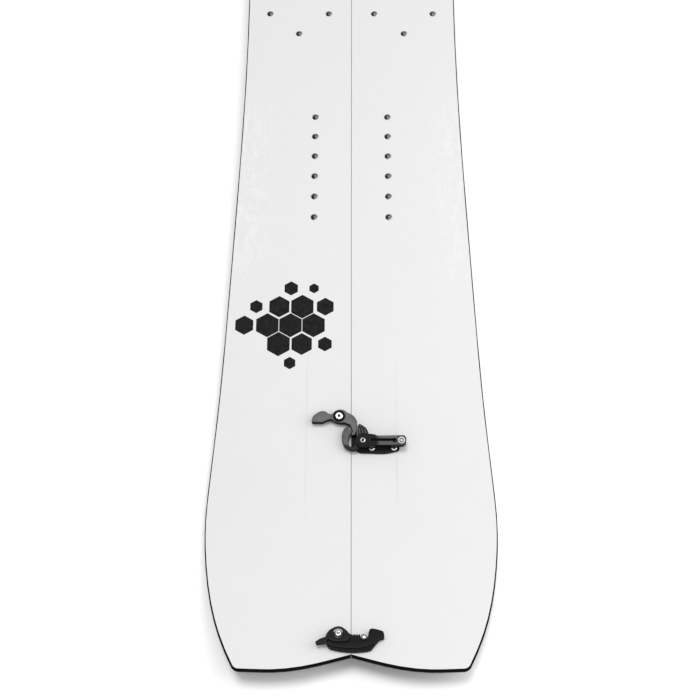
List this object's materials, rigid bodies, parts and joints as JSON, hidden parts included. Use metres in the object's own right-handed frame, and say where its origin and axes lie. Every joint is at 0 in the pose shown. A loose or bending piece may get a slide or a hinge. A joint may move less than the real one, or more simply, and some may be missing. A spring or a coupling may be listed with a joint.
{
  "type": "splitboard",
  "caption": "Directional snowboard made of two halves that part along a centre seam, joined by lever clips and tip clips, with threaded inserts for bindings.",
  "frame": {"origin": "on the floor under the middle of the board's length, on the seam between the halves", "axes": "+Y to the nose, +X to the right half, +Z out of the topsheet"},
  "size_m": [0.2914, 1.5997, 0.054],
  "materials": {
    "topsheet": "satin white printed nylon sheet",
    "sidewall": "black ground plastic",
    "base": "black sintered running base with stone-ground structure",
    "edge_steel": "blackened steel edge",
    "glass_laminate": "resin and glass fibre",
    "wood_core": "vertical laminated strips",
    "insert_steel": "stainless threaded inserts",
    "grey_anodised": "bead-blasted, grey anodised",
    "lever_anodised": "dark grey anodised",
    "black_nylon": "moulded glass-filled nylon",
    "bright_steel": "bright stainless"
  },
  "bodies": {
    "root": {"left_base": "base", "left_steel_edge": "edge_steel", "left_lower_laminate": "glass_laminate", "left_sidewall": "sidewall", "left_core": "wood_core", "left_upper_laminate": "glass_laminate", "left_topsheet": "topsheet", "left_ride_inserts": "insert_steel", "left_touring_inserts": "insert_steel", "left_clip_inserts": "insert_steel", "rear_hook_bushing": "black_nylon", "rear_hook_screw": "bright_steel", "front_hook_bushing": "black_nylon", "front_hook_screw": "bright_steel", "tail_clip_washers": "bright_steel", "tail_pivot_screw": "bright_steel", "nose_post_sleeve": "bright_steel", "nose_post_screw": "bright_steel"},
    "right_half": {"right_base": "base", "right_steel_edge": "edge_steel", "right_lower_laminate": "glass_laminate", "right_sidewall": "sidewall", "right_core": "wood_core", "right_upper_laminate": "glass_laminate", "right_topsheet": "topsheet", "right_ride_inserts": "insert_steel", "right_touring_inserts": "insert_steel", "right_clip_inserts": "insert_steel", "rear_clip_plate": "black_nylon", "rear_pivot_pin": "bright_steel", "rear_plate_screws": "bright_steel", "front_clip_plate": "black_nylon", "front_pivot_pin": "bright_steel", "front_plate_screws": "bright_steel", "tail_post_sleeve": "bright_steel", "tail_post_screw": "bright_steel", "nose_clip_washers": "bright_steel", "nose_pivot_screw": "bright_steel"},
    "rear_hook": {"rear_hook": "grey_anodised"},
    "rear_claw": {"rear_claw": "grey_anodised"},
    "rear_lever": {"rear_lever": "lever_anodised"},
    "front_hook": {"front_hook": "grey_anodised"},
    "front_claw": {"front_claw": "grey_anodised"},
    "front_lever": {"front_lever": "lever_anodised"},
    "tail_hook_arm": {"tail_hook_arm": "black_nylon"},
    "tail_lock_cap": {"tail_lock_cap": "black_nylon"},
    "nose_hook_arm": {"nose_hook_arm": "black_nylon"},
    "nose_lock_cap": {"nose_lock_cap": "black_nylon"}
  },
  "joints": [
    {"name": "split", "type": "slide", "parent": "root", "child": "right_half", "axis": [1, 0, 0], "range_m": [0, 0.025]},
    {"name": "rear_hook_turn", "type": "hinge", "parent": "root", "child": "rear_hook", "pos_m": [-0.0122, -0.5514, 0.00755], "axis": [0, -0.015, 0.9999], "range_deg": [0, 101]},
    {"name": "rear_claw_turn", "type": "hinge", "parent": "right_half", "child": "rear_claw", "pos_m": [0.0114, -0.5778, 0.00715], "axis": [0, -0.015, 0.9999], "range_deg": [0, 58]},
    {"name": "rear_lever_turn", "type": "hinge", "parent": "right_half", "child": "rear_lever", "pos_m": [0.0114, -0.5778, 0.00715], "axis": [0, -0.015, 0.9999], "range_deg": [0, 85]},
    {"name": "front_hook_turn", "type": "hinge", "parent": "root", "child": "front_hook", "pos_m": [-0.0122, 0.5824, 0.0069], "axis": [0, 0.0153, 0.9999], "range_deg": [0, 101]},
    {"name": "front_claw_turn", "type": "hinge", "parent": "right_half", "child": "front_claw", "pos_m": [0.0114, 0.556, 0.00731], "axis": [0, 0.0153, 0.9999], "range_deg": [0, 58]},
    {"name": "front_lever_turn", "type": "hinge", "parent": "right_half", "child": "front_lever", "pos_m": [0.0114, 0.556, 0.00731], "axis": [0, 0.0153, 0.9999], "range_deg": [0, 85]},
    {"name": "tail_arm_turn", "type": "hinge", "parent": "root", "child": "tail_hook_arm", "pos_m": [-0.0118, -0.7682, 0.02303], "axis": [0, 0.2577, 0.9662], "range_deg": [-158, 0]},
    {"name": "tail_cap_turn", "type": "hinge", "parent": "root", "child": "tail_lock_cap", "pos_m": [-0.0118, -0.7682, 0.02303], "axis": [0, 0.2577, 0.9662], "range_deg": [-45, 0]},
    {"name": "nose_arm_turn", "type": "hinge", "parent": "right_half", "child": "nose_hook_arm", "pos_m": [0.0118, 0.764, 0.03955], "axis": [0, -0.3542, 0.9352], "range_deg": [-158, 0]},
    {"name": "nose_cap_turn", "type": "hinge", "parent": "right_half", "child": "nose_lock_cap", "pos_m": [0.0118, 0.764, 0.03955], "axis": [0, -0.3542, 0.9352], "range_deg": [-45, 0]}
  ],
  "couplings": [
    {"joint": "rear_hook_turn", "follows": "split", "rad_per_m": 70},
    {"joint": "rear_claw_turn", "follows": "split", "rad_per_m": 40},
    {"joint": "front_hook_turn", "follows": "split", "rad_per_m": 70},
    {"joint": "front_claw_turn", "follows": "split", "rad_per_m": 40},
    {"joint": "tail_arm_turn", "follows": "split", "rad_per_m": -110},
    {"joint": "nose_arm_turn", "follows": "split", "rad_per_m": -110}
  ]
}
